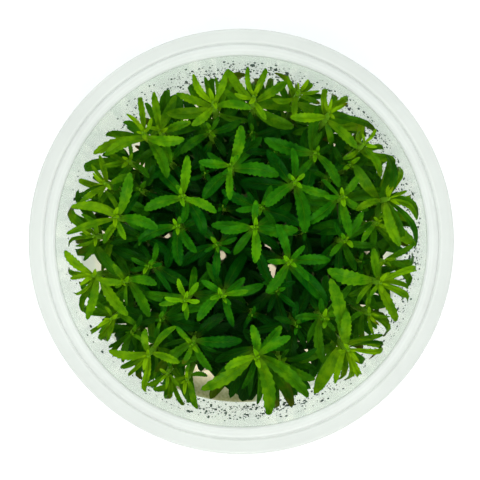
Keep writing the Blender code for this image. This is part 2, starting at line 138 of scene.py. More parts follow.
def buildPiece(name, parts, materials, sharpAngle=None):
    # one mesh from the parts, each with its own material slot, put in by whole arrays
    shift = np.cumsum([0] + [len(part["points"]) for part in parts])
    quads, fans = (
        np.concatenate([part[key] + s for part, s in zip(parts, shift)]) for key in ("quads", "fans")
    )
    slots = np.concatenate([
        np.full(len(part[key]), part["slot"]) for key in ("quads", "fans") for part in parts
    ])
    points = np.concatenate([part["points"] for part in parts])
    mesh = bpy.data.meshes.new(name)
    mesh.vertices.add(len(points))
    mesh.vertices.foreach_set("co", points.astype(np.float32).ravel())
    mesh.loops.add(quads.size + fans.size)
    mesh.loops.foreach_set("vertex_index", np.concatenate([quads.ravel(), fans.ravel()]).astype(np.int32))
    starts = np.concatenate([np.arange(len(quads)) * 4, quads.size + np.arange(len(fans)) * 3])
    mesh.polygons.add(len(starts))
    mesh.polygons.foreach_set("loop_start", starts.astype(np.int32))
    mesh.polygons.foreach_set("material_index", slots.astype(np.int32))
    mesh.polygons.foreach_set("use_smooth", np.ones(len(starts), bool))
    for key in ("place", "look"):
        attribute = mesh.attributes.new(key, "FLOAT_VECTOR", "POINT")
        values = np.concatenate([part[key] for part in parts])
        attribute.data.foreach_set("vector", values.astype(np.float32).ravel())
    mesh.update(calc_edges=True)
    if mesh.validate():
        print("  mended:", name)
    if sharpAngle:
        mesh.set_sharp_from_angle(angle=math.radians(sharpAngle))
    for material in materials:
        mesh.materials.append(material)
    piece = placed(name, mesh)
    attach(piece, "root")
    return piece


def softened(corners, steps=5):
    # A profile with round corners: each corner is (radius, height, fillet), and a curve of second
    # degree joins the points that lie one fillet before and after it.
    most = 0.45         # share of an edge that a curve takes at its end
    flat = np.array([c[:2] for c in corners], float)
    share = np.linspace(0, 1, steps)[:, None]
    out = [flat[:1]]
    for before, here, after, fillet in zip(flat, flat[1:], flat[2:], [c[2] for c in corners[1:-1]]):
        if fillet == 0:
            out.append(here[None])
            continue
        a, b = (
            here + unit(other - here) * min(fillet, np.linalg.norm(other - here) * most)
            for other in (before, after)
        )
        out.append((1 - share) ** 2 * a + 2 * share * (1 - share) * here + share ** 2 * b)
    return np.concatenate(out + [flat[-1:]])


def held(profile, hold):
    # two more points on each long stretch, near its ends, which keep the shading of flat parts flat
    out = [profile[:1]]
    for a, b in zip(profile, profile[1:]):
        long = np.linalg.norm(b - a) > 3 * hold
        way = unit(b - a) * hold
        out.append(np.array([a + way, b - way, b] if long else [b]))
    return np.concatenate(out)


def turnedForm(profile, around, ripple=None):
    # A profile from the axis, over the top and down to the axis again, turned clockwise so that its
    # faces look out. ripple(x, y, height) lifts the points of its upper side.
    radius, height = profile[1:-1, 0], profile[1:-1, 1]
    rings = radius[:, None, None] * level(-roundTurn(around)) + height[:, None, None] * up
    if ripple:
        rings[..., 2] += ripple(rings[..., 0], rings[..., 1], height[:, None])
    poles = [np.array([[0.0, 0.0, profile[end, 1]]]) for end in (0, -1)]
    return makeForms(rings[None], *poles)


# Nodes

def feed(tree, socket, value):
    # an output is linked in, and a number, vector or colour is set on the socket
    if isinstance(value, bpy.types.NodeSocket):
        tree.links.new(value, socket)
    else:
        socket.default_value = (*value, 1.0) if socket.type == "RGBA" else value


def put(tree, kind, inputs=None, **settings):
    # a node with its settings, and some of its inputs fed by name or number
    node = tree.nodes.new(kind)
    for key, value in settings.items():
        setattr(node, key, value)
    for key, value in (inputs or {}).items():
        feed(tree, node.inputs[key], value)
    return node


def doMath(tree, operation, *inputs):
    # a Math node
    return put(tree, "ShaderNodeMath", dict(enumerate(inputs)), operation=operation).outputs[0]


def scaled(tree, value, factor, added):
    # a value times a factor, and what is added to it
    return doMath(tree, "MULTIPLY_ADD", value, factor, added)


def times(tree, first, *others):
    # a product
    for other in others:
        first = doMath(tree, "MULTIPLY", first, other)
    return first


def doStep(tree, value, low, high, outLow=0.0, outHigh=1.0):
    # a smooth step of a value, from one number to another
    inputs = dict(enumerate((value, low, high, outLow, outHigh)))
    return put(tree, "ShaderNodeMapRange", inputs, interpolation_type="SMOOTHSTEP").outputs[0]


def doStepMm(tree, value, low, high, *out):
    # the same step between two lengths in mm
    return doStep(tree, value, low * mm, high * mm, *out)


def doMix(tree, share, a, b):
    # a colour mix
    return put(tree, "ShaderNodeMix", {0: share, 6: a, 7: b}, data_type="RGBA").outputs[2]


def layered(tree, colour, *layers):
    # other colours over a colour, each by its share
    for share, over in layers:
        colour = doMix(tree, share, colour, over)
    return colour


def doNoise(tree, vector, scale, low, high, name="mottle"):
    # the shared mottle group, placed with this material's own values
    inputs = {"Vector": vector, "Scale": scale, "Detail": 3.0, "Low": low, "High": high}
    return put(tree, "ShaderNodeGroup", inputs, node_tree=mottleGroup(), label=name).outputs["Value"]


def mottleGroup():
    # soft uneven patches: a noise whose middle range is spread from Low to High
    made = bpy.data.node_groups.get("mottle")
    if made:
        return made
    made = bpy.data.node_groups.new("mottle", "ShaderNodeTree")
    for name in ("Vector", "Scale", "Detail", "Low", "High"):
        kind = "NodeSocketVector" if name == "Vector" else "NodeSocketFloat"
        made.interface.new_socket(name, in_out="INPUT", socket_type=kind)
    made.interface.new_socket("Value", in_out="OUTPUT", socket_type="NodeSocketFloat")
    given = put(made, "NodeGroupInput").outputs
    inputs = {key: given[key] for key in ("Vector", "Scale", "Detail")}
    noise = put(made, "ShaderNodeTexNoise", {"Roughness": 0.55, **inputs})
    spread = doStep(made, noise.outputs["Fac"], 0.3, 0.7, given["Low"], given["High"])
    put(made, "NodeGroupOutput", {"Value": spread})
    return made


def doRamp(tree, value, stops):
    # colours along a value, each stop with its place and colour
    ramp = put(tree, "ShaderNodeValToRGB", {"Fac": value})
    elements = ramp.color_ramp.elements
    while len(elements) < len(stops):
        elements.new(0.5)
    for element, (at, colour) in zip(elements, stops):
        element.position = at
        element.color = (*colour, 1.0)
    return ramp.outputs["Color"]


def radiusNode(tree, where):
    # distance from the cup's axis
    flat = put(tree, "ShaderNodeVectorMath", {0: where, 1: (1.0, 1.0, 0.0)}, operation="MULTIPLY")
    return put(tree, "ShaderNodeVectorMath", {0: flat.outputs[0]}, operation="LENGTH").outputs["Value"]


def partsOf(tree, vector):
    # the three numbers of a vector
    return put(tree, "ShaderNodeSeparateXYZ", {0: vector}).outputs


def wire(tree, shader, **inputs):
    # feeds the shader's own inputs, by their names with _ for a space
    for key, value in inputs.items():
        feed(tree, shader.inputs[key.replace("_", " ")], value)


def newMaterial(name, **inputs):
    # a material with a Principled shader and its plain values, and the place on the object
    material = bpy.data.materials.new(name)
    material.use_nodes = True
    tree = material.node_tree
    shader = next(node for node in tree.nodes if node.type == "BSDF_PRINCIPLED")
    wire(tree, shader, **inputs)
    return material, tree, shader, put(tree, "ShaderNodeTexCoord").outputs["Object"]


def relief(tree, shader, height, distance, strength):
    # a height in shares of a distance in mm, as a bump on the shader
    inputs = {"Strength": strength, "Distance": distance * mm, "Height": height}
    wire(tree, shader, Normal=put(tree, "ShaderNodeBump", inputs).outputs["Normal"])


def lightThrough(tree, shader, colour, share):
    # a share of light that comes through, mixed with the shader at the material's output
    through = put(tree, "ShaderNodeBsdfTranslucent", {"Color": colour})
    mix = put(tree, "ShaderNodeMixShader", {0: share, 1: shader.outputs[0], 2: through.outputs[0]})
    tree.links.new(mix.outputs[0], tree.nodes["Material Output"].inputs["Surface"])


# Shoots: what the solids say

def cornersOf(nodeName):
    # the different corners of a solid, and its triangles as three numbers each into them
    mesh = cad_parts[nodeName].data
    points = np.empty(len(mesh.vertices) * 3, np.float32)
    mesh.vertices.foreach_get("co", points)
    corners = np.empty(len(mesh.loops), np.int32)
    mesh.loops.foreach_get("vertex_index", corners)
    points, same = np.unique(points.reshape(-1, 3), axis=0, return_inverse=True)
    return points.astype(float), same.reshape(-1)[corners].reshape(-1, 3)


def readShoot(nodeName):
    # The stem's line and the lie of each leaf. A tip is a corner where four faces meet round a
    # rectangle: the leaf's widest section, or, where the rectangle is a square, the top of the stem.
    points, triangles = cornersOf(nodeName)
    shoot = {"node": nodeName, "foot": points[np.argsort(points[:, 2])[:4]].mean(axis=0), "leaves": []}
    meeting = np.bincount(triangles.ravel(), minlength=len(points))
    for tip in np.flatnonzero(meeting == 4):
        near = np.unique(triangles[(triangles == tip).any(axis=1)])
        ring = near[near != tip]
        section = points[ring]
        middle = section.mean(axis=0)
        out = np.linalg.norm(section - middle, axis=1)
        if len(ring) != 4 or np.ptp(out) > 0.02 * out.mean():      # not a rectangle
            continue
        sides = np.linalg.norm(section[1:] - section[0], axis=1)
        thin, wide = np.argsort(sides)[:2]
        if sides[wide] - sides[thin] < 0.2 * mm:                    # a square
            shoot["top"] = points[tip]
            continue
        beside = np.unique(triangles[np.isin(triangles, ring).any(axis=1)])
        root = beside[~np.isin(beside, near)]
        side = unit(section[wide + 1] - section[0])
        along = points[tip] - points[root].mean(axis=0)
        side *= np.sign(side @ np.cross(up, along)) or 1.0
        shoot["leaves"].append({
            "start": points[root].mean(axis=0), "middle": middle, "tip": points[tip],
            "side": side, "width": sides[wide],
        })
    shoot["line"] = unit(shoot["top"] - shoot["foot"])
    shoot["lowest"] = min([leaf["start"][2] for leaf in shoot["leaves"]] + [shoot["top"][2]])
    return shoot


shoots = [readShoot(name) for name in sorted(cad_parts) if name.startswith("shoot_")]
print("shoots read:", len(shoots), "with", sum(len(shoot["leaves"]) for shoot in shoots), "leaves")


# Camera, floor and lights

cameraSettings = {
    "place": (-0.00031, 0.00033, 0.590),    # straight over the cup, looking down
    "lens": 169.6,                          # on a 36 mm sensor
}
lightSettings = {
    "sky": (0.93, 0.96, 1.0),
    "skyStrength": 0.98,
    # name: place, size, power, colour
    "lamps": {
        "keyLamp": ((0.05, -0.42, 0.60), 0.30, 2.6, (1.0, 0.99, 0.96)),
        "fillLamp": ((-0.10, 0.44, 0.52), 0.50, 1.8, (0.98, 0.99, 1.0)),
    },
    "target": (0.0, 0.0, 0.04),
    "floor": (0.93, 0.935, 0.93), "floorDark": (0.8, 0.8, 0.8),
    "floorSize": 1.6,
}


def makeStudio():
    # a soft sky, two large lamps, a plain pale floor and the camera
    scene = bpy.context.scene
    scene.view_settings.view_transform = "Standard"
    world = bpy.data.worlds.new("studio")
    world.use_nodes = True
    sky = world.node_tree.nodes["Background"]
    wire(world.node_tree, sky, Color=lightSettings["sky"], Strength=lightSettings["skyStrength"])
    scene.world = world
    target = np.array(lightSettings["target"])
    for name, (place, size, power, colour) in lightSettings["lamps"].items():
        data = bpy.data.lights.new(name, "AREA")
        data.size = size
        data.energy = power
        data.color = colour
        lamp = placed(name, data, place)
        lamp.rotation_euler = Vector(np.array(place) - target).to_track_quat("Z", "Y").to_euler()

    data = bpy.data.cameras.new("overhead")
    data.lens = cameraSettings["lens"]
    data.sensor_width = 36.0
    data.clip_start = 0.01
    scene.camera = placed("overhead", data, cameraSettings["place"])

    material, tree, shader, where = newMaterial("paleFloor", Roughness=0.7, Specular_IOR_Level=0.2)
    shade = doNoise(tree, where, 300.0, 0.0, 0.02)
    wire(tree, shader, Base_Color=doMix(tree, shade, lightSettings["floor"], lightSettings["floorDark"]))
    half = lightSettings["floorSize"] / 2
    mesh = bpy.data.meshes.new("floor")
    corners = [(-half, -half, 0), (half, -half, 0), (half, half, 0), (-half, half, 0)]
    mesh.from_pydata(corners, [], [(0, 1, 2, 3)])
    mesh.materials.append(material)
    floor = placed("floor", mesh)


makeStudio()
print("studio made")


# Cup

cupSettings = {
    "around": 160,
    "mouth": 43.7,              # mm, the inside of the wall at the rim
    "draft": 0.048,
    "height": 60.0,
    # the wall is clear when it is seen straight on and greener along its face, the flange is milky. The
    # wall's green colour is painted reflection of the plants in it and in its drops, over a faint tint.
    "wall": (0.47, 0.66, 0.42), "wallAlpha": (0.035, 0.31), "alphaPower": 2.5,
    "flange": (0.622, 0.652, 0.605), "flangeAlpha": 0.62,
    "milkyPast": (44.7, 45.1), "milkyOver": (57.0, 58.8),   # mm: the radius and height where that starts
    "milk": 0.08,               # share of the light that the plastic scatters through
    "roughness": 0.16, "rougher": 0.12,     # of the wall, and what the flange has more
    "grain": (0.02, 0.25),      # mm and strength
    "cloud": -0.05,             # what the flow clouds add to the light
    # fine rings that the photo shows, painted shade at the mouth and painted highlights on the bead and
    # flange: radius and half width in mm, and the brightness that they add
    "rings": [(43.95, 0.26, -0.16), (44.30, 0.60, -0.07), (44.95, 0.45, 0.03), (47.05, 0.30, 0.06)],
}


def wallRadius(z):
    # the inside of the wall at a height, in metres
    return cupSettings["mouth"] * mm - (cupSettings["height"] * mm - z) * cupSettings["draft"]


def cupMaterial():
    # moulded plastic: a clear wall and a milky flange, fine grain, faint flow clouds, painted shade and
    # highlight rings at the rim, and light that comes through
    s = cupSettings
    material, tree, shader, where = newMaterial("milkyPlastic", Roughness=s["roughness"], IOR=1.49)
    radius, height = radiusNode(tree, where), partsOf(tree, where)["Z"]
    cloud = doNoise(tree, where, 60.0, 0.0, 1.0)
    grain = doNoise(tree, where, 2600.0, 0.0, 1.0, name="grain")
    past, over = doStepMm(tree, radius, *s["milkyPast"]), doStepMm(tree, height, *s["milkyOver"])
    milky = doMath(tree, "MAXIMUM", past, over)
    light = scaled(tree, cloud, s["cloud"], 1.0)
    below = doMath(tree, "MAXIMUM", doMath(tree, "SUBTRACT", s["milkyOver"][0] * mm, height), 0.0)
    # painted shade and painted highlights: thin darker and lighter rings, only near the top
    for at, half, added in s["rings"]:
        off = doMath(tree, "ABSOLUTE", doMath(tree, "SUBTRACT", radius, at * mm))
        off = doMath(tree, "ADD", off, below)
        light = doMath(tree, "ADD", light, doStepMm(tree, off, half, 0.0, 0.0, added))
    plain = doMix(tree, milky, s["wall"], s["flange"])
    colour = put(tree, "ShaderNodeVectorMath", {0: plain, "Scale": light}, operation="SCALE").outputs[0]
    facing = put(tree, "ShaderNodeLayerWeight", {"Blend": 0.5}).outputs["Facing"]
    clear, full = s["wallAlpha"]
    wall = scaled(tree, doMath(tree, "POWER", facing, s["alphaPower"]), full - clear, clear)
    wire(
        tree, shader, Base_Color=colour, Alpha=doStep(tree, milky, 0.0, 1.0, wall, s["flangeAlpha"]),
        Roughness=scaled(tree, milky, s["rougher"], s["roughness"]),
    )
    relief(tree, shader, grain, *s["grain"])
    lightThrough(tree, shader, colour, s["milk"])
    return material


def makeCup():
    # corners as (radius, height, fillet) in mm: floor, wall, rounded sealing bead, groove, flat
    # flange, skirt, outside of the wall and foot ring
    s = cupSettings
    inner = [s["mouth"] - (s["height"] - z) * s["draft"] for z in (2.0, 58.0, 0.0)]
    corners = [
        (0, 2.0, 0), (inner[0], 2.0, 1.5), (s["mouth"], 60.0, 0.55), (46.1, 60.0, 0.8),
        (46.45, 58.9, 0.15), (46.8, 59.1, 0.2), (50.0, 59.1, 0.6), (50.0, 55.7, 0.3), (49.1, 55.7, 0.3),
        (49.1, 58.0, 0.5), (inner[1] + 1.0, 58.0, 0.6), (inner[2] + 1.0, 0.0, 1.2), (38.7, 0.0, 0.5),
        (38.1, 0.8, 0.4), (0, 0.8, 0),
    ]
    profile = held(softened(corners), 0.4) * mm
    cup = buildPiece("moulded_cup", [turnedForm(profile, s["around"])], [cupMaterial()])
    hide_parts("cup")


makeCup()
print("cup made")


# Culture gel

gelSettings = {
    "top": 10.0,                # mm
    "around": 96,
    "colour": (0.93, 0.80, 0.55), "cloud": (0.34, 0.305, 0.20), "speck": (0.9, 0.85, 0.72),
    "side": (0.60, 0.565, 0.48),        # along the wall, under the top
    "rim": (0.84, 0.89, 0.77),          # the ring on top that the wall shines on, and where it starts, in mm
    "ring": (33.0, 40.0),
    "deep": (0.24, 0.26, 0.11),         # the part of that ring which leaves shade
    "shaded": (-7.0, -40.0, 9.0, 14.0),     # where that is: x, y and from full to none, in mm
    "paintedShade": (0.020, 0.034, 0.008),      # painted shade: dark green on the gel's top between the stems
    "paintedShadeWithin": (29.5, 34.0), "ragged": 3.0,      # mm, its outer edge and how uneven that is
    "unevenness": 0.14,         # mm
    "glow": 0.70,               # painted glow: emission for light the gel scatters up between the stems
    # where the photo shows the bare gel between the leaves: x, y and radius in mm, and their soft edge
    "soft": 0.6,
    "openings": [(7.1, -7.8, 1.7), (-5.1, -3.6, 0.8), (-19.0, 1.3, 0.45), (7.0, -1.2, 0.6), (12.0, -0.4, 0.6),
                 (14.6, 11.9, 0.6), (22.8, -12.8, 0.7), (-12.2, -32.6, 1.4), (-8.8, -34.7, 1.4),
                 (-28.1, 23.8, 1.3), (37.0, -4.0, 1.2), (37.5, 5.9, 1.0), (-38.6, -5.6, 2.2),
                 (-9.6, -38.2, 2.2), (-4.5, -40.2, 1.5), (3.0, -40.8, 0.8)],
}


def gelRipple(x, y, height):
    # a slow swell and two finer ones over the top, that fade out at the wall
    s = gelSettings
    lift = np.sin(x * 210 + 1.0) * np.cos(y * 180)
    lift = lift + 0.5 * np.sin(x * 420 - y * 370) + 0.3 * np.sin(y * 800 + x * 300)
    fade = 1 - ease(s["ring"][0] * mm, s["ring"][1] * mm, np.hypot(x, y))
    return lift * fade * s["unevenness"] * mm * (height > (s["top"] - 0.1) * mm)


def nearNode(tree, where, x, y):
    # distance from a place on top of the gel, x and y in mm
    point = (x * mm, y * mm, gelSettings["top"] * mm)
    return put(tree, "ShaderNodeVectorMath", {0: where, 1: point}, operation="DISTANCE").outputs["Value"]


def gelMaterial():
    # cloudy cream gel with a wet surface, painted dark green shade among the stems, and a painted glow
    s = gelSettings
    material, tree, shader, where = newMaterial(
        "creamGel", Roughness=0.22, IOR=1.34, Specular_IOR_Level=0.15, Subsurface_Weight=0.4,
        Subsurface_Scale=0.006, Subsurface_Radius=(1.0, 0.9, 0.7), Emission_Strength=s["glow"],
    )
    cloud = doNoise(tree, where, 140.0, 0.0, 1.0)
    speck = doNoise(tree, where, 1500.0, 0.0, 1.0, name="specks")
    patch = doNoise(tree, where, 170.0, -s["ragged"] * mm, s["ragged"] * mm, name="patches")
    radius, height = radiusNode(tree, where), partsOf(tree, where)["Z"]
    under = doStepMm(tree, height, s["top"] - 0.5, s["top"] - 1.0)
    edge = doStepMm(tree, radius, *s["ring"])
    x, y, full, none = s["shaded"]
    shade = doStepMm(tree, nearNode(tree, where, x, y), none, full)
    ring = doMix(tree, under, doMix(tree, shade, s["rim"], s["deep"]), s["side"])
    colour = layered(
        tree, s["colour"], (times(tree, cloud, 0.5), s["cloud"]), (edge, ring),
        (times(tree, speck, 0.15), s["speck"]),
    )
    bare = doStepMm(tree, doMath(tree, "ADD", radius, patch), *s["paintedShadeWithin"])
    for x, y, wide in s["openings"]:
        opening = doStepMm(tree, nearNode(tree, where, x, y), wide + s["soft"], wide)
        bare = doMath(tree, "MAXIMUM", bare, opening)
    # painted shade: dark green on top between the stems, except at the open places and near the wall
    colour = doMix(tree, doMath(tree, "MAXIMUM", bare, under), s["paintedShade"], colour)
    # painted glow: the gel's own colour as emission, except on the ring near the wall
    wire(
        tree, shader, Base_Color=colour, Emission_Color=doMix(tree, edge, colour, (0.0, 0.0, 0.0)),
        Roughness=scaled(tree, cloud, 0.15, 0.15),
    )
    relief(tree, shader, speck, 0.05, 0.4)
    return material


def makeGel():
    # a disc whose edge climbs the wall a little where it wets it
    edge = wallRadius(10 * mm) / mm - 0.05
    base = wallRadius(2 * mm) / mm - 0.1
    top = [(r, 10.0) for r in np.linspace(0, edge - 2.2, 30)]
    climb = [(edge - 1.3, 10.06), (edge - 0.6, 10.2), (edge - 0.2, 10.4), (edge, 10.62)]
    under = [(edge - 0.02, 10.4), (base + 0.05, 4.0), (base - 0.25, 2.9), (base - 1.4, 2.15), (0, 2.1)]
    form = turnedForm(np.array(top + climb + under) * mm, gelSettings["around"], gelRipple)
    gel = buildPiece("cream_gel", [form], [gelMaterial()], 70)
    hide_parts("culture_gel")


makeGel()
print("gel made")


# Condensation

dropSettings = {
    "count": 1900,
    "low": 11.5, "high": 51.0,          # mm, where the drops hang on the wall
    "least": 0.09, "most": 0.74,        # mm, radius
    "wet": (88, 40, 0, -85), "spread": 34,      # degrees: the sides of the wall that carry most
    "few": 0.08,                        # share of that on the other sides
    # painted refraction and reflection: the dark green of the plants that the drops show
    "colour": (0.030, 0.050, 0.038), "pale": (0.10, 0.15, 0.115),
}


def dropMaterial():
    # clear water, with a dark green painted in for the plants seen through it and in it
    material, tree, shader, where = newMaterial(
        "clearWater", Roughness=0.05, IOR=1.33, Transmission_Weight=0.12, Specular_IOR_Level=0.5,
    )
    tint = doNoise(tree, where, 500.0, 0.0, 1.0)
    wire(tree, shader, Base_Color=doMix(tree, tint, dropSettings["colour"], dropSettings["pale"]))
    return material


def makeDrops():
    # each drop is half an ellipsoid that sits on the wall, wider round the wall than it is high
    s = dropSettings
    tries = s["count"] * 6
    azimuth = chance.uniform(-180, 180, tries)
    z = s["low"] + (s["high"] - s["low"]) * chance.beta(1.5, 1.7, tries)
    off = np.min([np.abs((azimuth - side + 180) % 360 - 180) for side in s["wet"]], axis=0)
    crowd = s["few"] + np.exp(-((off / s["spread"]) ** 2))
    crowd *= 0.6 + 0.4 * np.sin(np.radians(azimuth) * 9) * np.cos(z * 0.4)      # nine swells round it
    keep = np.flatnonzero(chance.uniform(0, 1, tries) < crowd)[:s["count"]]
    azimuth, z = np.radians(azimuth[keep]), z[keep] * mm
    size = s["least"] + (s["most"] - s["least"]) * chance.beta(1.0, 6.0, len(z))
    wide = size * (1 + 0.4 * ease(0.3, 0.7, size) + chance.uniform(-0.1, 0.1, len(z))) * mm
    tall = size * (1 + chance.uniform(-0.15, 0.15, len(z))) * mm
    deep = size * chance.uniform(1.0, 1.3, len(z)) * mm
    apart = spreadOut(azimuth, z, wide)
    azimuth, z, wide, tall, deep = (values[apart] for values in (azimuth, z, wide, tall, deep))

    outward = level(azimuth)
    beside = np.cross(up, outward)
    climb = unit(up + outward * cupSettings["draft"])
    inward = unit(up * cupSettings["draft"] - outward)
    base = outward * (wallRadius(z) - 0.01 * mm)[:, None] + up * z[:, None]
    turn = roundTurn(8)
    share = np.array([[0.66, 0.0], [1.0, 0.42], [0.70, 0.84]])      # (radius, depth) of the rings
    ring = share[:, None, 0] * np.stack([np.cos(turn), np.sin(turn)])[:, None]
    rings = sum((
        way[:, None, None] * (size[:, None, None] * part)[..., None]
        for way, size, part in ((beside, wide, ring[0]), (climb, tall, ring[1]), (inward, deep, share[:, 1:]))
    ), base[:, None, None])
    form = makeForms(rings, base, base + inward * deep[:, None])
    buildPiece("condensation", [form], [dropMaterial()], 60)
    return len(z)


def spreadOut(azimuth, z, wide):
    # which drops stay: a drop that would touch a larger one has run into it
    flat = np.stack([azimuth * wallRadius(z), z], axis=-1)
    order = np.argsort(-wide)
    near = np.linalg.norm(flat[order][:, None] - flat[order][None], axis=-1)
    touch = near < (wide[order][:, None] + wide[order][None]) * 0.95
    kept = np.ones(len(order), bool)
    for i in range(len(order)):
        kept[i] = not (touch[i, :i] & kept[:i]).any()
    return order[kept]


print("drops of condensation:", makeDrops())


# Leaves

leafSettings = {
    "thickness": 0.26,          # mm, at the midrib
    "thinner": 0.55,            # share of that which the tip has less
    "slim": (0.74, 0.94),       # share of the solid's width that the blade has
    "fold": (8, 26),            # degrees that each half rises from the midrib
    "foldAtWall": 12,           # degrees more for leaves that press on the wall
    "curl": 2.2,                # mm from the wall, from where a leaf curls down along it
    "fall": 0.75,               # share of the way lost outwards that goes down
    "offWall": 0.4,             # mm that the midline keeps from the wall
    "clear": 0.10,              # mm that every point keeps from it
    "overGel": 10.8,            # mm, the lowest that the midline comes
    "slack": 2.6,               # mm that a leaf curls at the wall, from where it gets slimmer
    "slimmest": 0.4,            # share of the width, the least that this leaves
    "aside": 0.9,               # the most that it turns along the wall, in shares of the same
    "longer": (32.0, 38.0, 1.3),    # mm from the middle, and what the leaves near the wall are longer
    "sweep": 0.08, "hook": 0.10,    # sideways bend and drop of the tip, in shares of the length
    "crown": 0.10,              # how round each half is, in shares of the half width
    "notch": 0.88, "tooth": 1.09,
    "wave": 0.10,               # how wavy the edge is, in shares of the half width
    "waves": (11, 1.3),         # radians along the leaf and from the midrib to an edge
    "twist": 0.30,              # radians, the most that a leaf turns from foot to tip
    # stations along a leaf, each with 0 at a notch, 2 at a tooth and 1 where the edge is smooth: the
    # leaves on top have teeth, and those that they hide have fewer stations and none
    "toothed": [(0.03, 1), (0.13, 1), (0.25, 1), (0.31, 0), (0.385, 2), (0.42, 0), (0.50, 2), (0.535, 0),
                (0.615, 2), (0.65, 0), (0.73, 2), (0.765, 0), (0.845, 2), (0.88, 0), (0.955, 2)],
    "plain": [(0.04, 1), (0.18, 1), (0.34, 1), (0.50, 1), (0.66, 1), (0.82, 1), (0.94, 1)],
    "hidden": 7.5,              # mm under the top of a shoot, from where its leaves are plain
}


def bladeWidth(u):
    # share of the half width: u^0.8 (1 - u)^0.6 over its most, at 0.57, and a narrow foot that clasps
    # the stem
    return u ** 0.8 * (1 - u) ** 0.6 / 0.3845 + 0.15 * (1 - u) ** 3


acrossLeaf = np.array([-1.0, -0.5, 0.0, 0.5, 1.0, 0.0])     # the points of a ring; the last is underneath


def leafRings(leaves, stations):
    # The midline is the curve of second degree through start, middle and tip. Each ring has the two
    # edges, the midrib and the crown of each half on top, and the midrib underneath.
    s = leafSettings
    start, middle, tip, side = (part[:, None] for part in gathered(leaves, "start", "middle", "tip", "side"))
    width, slim, aside, twist, phase = (
        part[:, None] for part in gathered(leaves, "width", "slim", "aside", "twist", "phase")
    )
    sweep, hook, fold = (part[:, None, None] for part in gathered(leaves, "sweep", "hook", "fold"))
    u, kind = (np.array(part)[None] for part in zip(*stations))
    saw = np.array([s["notch"], 1.0, s["tooth"]])[kind]
    steps = np.concatenate([[0.0], u[0], [1.0]])
    part = steps[None, :, None]
    line = curved(start, middle, tip, part)
    length = np.linalg.norm(tip - start, axis=-1, keepdims=True)
    line = line + (side * sweep * np.sin(math.pi * part) - up * hook * part ** 4) * length
    flatTip = tip * np.array([1.0, 1.0, 0.0])
    near, far, most = s["longer"]
    longer = ease(near * mm, far * mm, np.linalg.norm(flatTip, axis=-1, keepdims=True)) * most * mm
    line = line + unit(flatTip) * (longer * part ** 2)
    line, lost = downTheWall(line, aside)
    slack = 1 / (1 + (lost[:, 1:-1] / (s["slack"] * mm)) ** 2)
    along = unit(np.gradient(line, steps, axis=1))[:, 1:-1]
    centre, part = line[:, 1:-1], part[:, 1:-1]
    flat = unit(side - (side * along).sum(axis=-1, keepdims=True) * along)
    over = np.cross(along, flat)
    turn = (twist * s["twist"] * u)[..., None]
    across = flat * np.cos(turn) + over * np.sin(turn)
    over = np.cross(along, across)

    half = width * slim / 2 * bladeWidth(u) * (1 + (saw - 1) * slack) * mixed(s["slimmest"], 1.0, slack)
    half = half[..., None]
    v = acrossLeaf
    rise = np.abs(v) * np.sin(fold) + s["crown"] * (np.abs(v) == 0.5)
    wave = np.sin(part * s["waves"][0] + phase[..., None] + v * s["waves"][1]) * np.abs(v) * s["wave"]
    thick = s["thickness"] * mm * (1 - s["thinner"] * u)[..., None] * (np.arange(len(v)) == 5)
    rings = (
        centre[:, :, None]
        + across[:, :, None] * (half * v * np.cos(fold))[..., None]
        + over[:, :, None] * (half * (rise + wave) - thick)[..., None]
    )
    return keptInside(rings), line


def leafForms(leaves, stations):
    # the closed forms of leaves, with their poles at foot and tip
    rings, line = leafRings(leaves, stations)
    place, look = leafPlaces(leaves, np.array([[station[0] for station in stations]]), acrossLeaf)
    return makeForms(rings, line[:, 0], line[:, -1], place, look)


def downTheWall(points, aside):
    # A leaf that comes near the wall curls down along it: past the start of the curl, what it goes
    # on outwards falls off as 1 - e^-x, and what is lost goes down and, by the leaf's own share,
    # to one side.
    s = leafSettings
    curl = s["curl"] * mm
    out = fromAxis(points)
    over = np.maximum(out - (wallRadius(points[..., 2]) - s["offWall"] * mm - curl), 0)
    lost = over - curl * (1 - np.exp(-over / curl))
    moved = drawnIn(points, 1 - lost / out)
    moved += np.cross(up, points) / out[..., None] * (aside * lost)[..., None]
    moved[..., 2] = np.maximum(moved[..., 2] - s["fall"] * lost, s["overGel"] * mm)
    return moved, lost


def keptInside(points):
    # points that would pass the wall move straight in to it
    out = np.maximum(fromAxis(points), 1e-9)
    return drawnIn(points, np.minimum((wallRadius(points[..., 2]) - leafSettings["clear"] * mm) / out, 1.0))


def leafPlaces(leaves, u, v):
    # place: share of the way along, across from -1 to 1, and 1 underneath. look: tone, brown, olive.
    count, rings, around = len(leaves), u.shape[1], len(v)
    grid = np.zeros((count, rings, around, 3))
    grid[..., 0], grid[..., 1], grid[..., 2] = u[..., None], v, np.arange(around) == 5
    ends = np.zeros((count, 2, 3))
    ends[:, 1, 0] = 1.0
    place = np.concatenate([ends[:, :1], grid.reshape(count, -1, 3), ends[:, 1:]], axis=1)
    look = np.stack(gathered(leaves, "tone", "brown", "olive"), axis=-1)
    return place, np.repeat(look[:, None], rings * around + 2, axis=1)


bladeKeys = ("start", "middle", "tip", "side", "width")


def newLeaf(start, middle, tip, width):
    # a leaf from its points and width, with a level side that is square to its way
    return dict(zip(bladeKeys, (start, middle, tip, unit(np.cross(up, tip - start)), width)))


def curved(start, middle, tip, u):
    # the curve of second degree through start, middle and tip, with the middle at half of u
    bend = 2 * middle - (start + tip) / 2
    return (1 - u) ** 2 * start + 2 * u * (1 - u) * bend + u ** 2 * tip


def leafSamples(start, middle, tip, side, width, along=12, across=5):
    # points over a leaf's blade, for any number of leaves at once
    u = np.linspace(0.08, 0.95, along)[:, None, None]
    v = np.linspace(-0.74, 0.74, across)[None, :, None]
    start, middle, tip, side = (part[:, None, None] for part in (start, middle, tip, side))
    return curved(start, middle, tip, u) + side * ((width / 2)[:, None, None, None] * bladeWidth(u) * v)


# Hidden leaves: pairs down each stem, where they have room and close the view to the gel

